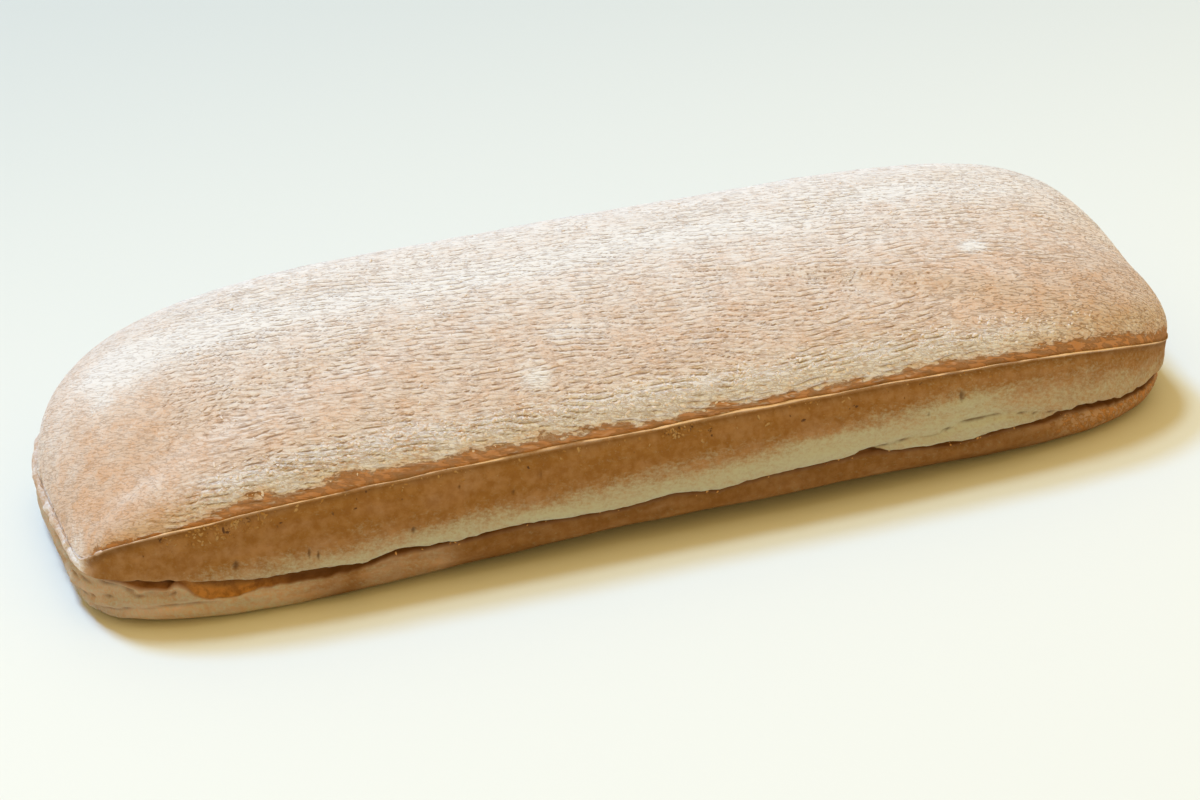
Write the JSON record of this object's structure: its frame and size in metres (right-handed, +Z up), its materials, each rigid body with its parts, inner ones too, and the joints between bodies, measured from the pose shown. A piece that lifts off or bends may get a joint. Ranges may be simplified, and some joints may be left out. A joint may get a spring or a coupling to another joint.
{
  "type": "ciabatta loaf",
  "caption": "Long low loaf of flat-baked white bread with a floured wrinkled top, a crisp crease round its edge, a burst side and a flat base.",
  "frame": {"origin": "middle of the loaf's outline, on the plane of its flat base", "axes": "+X along the loaf, +Y across it away from the side with the crisp crease and the split, +Z up"},
  "size_m": [0.299, 0.097, 0.0521],
  "materials": {
    "floured_crust": "matte"
  },
  "bodies": {
    "root": {"loaf": "floured_crust"}
  },
  "joints": []
}
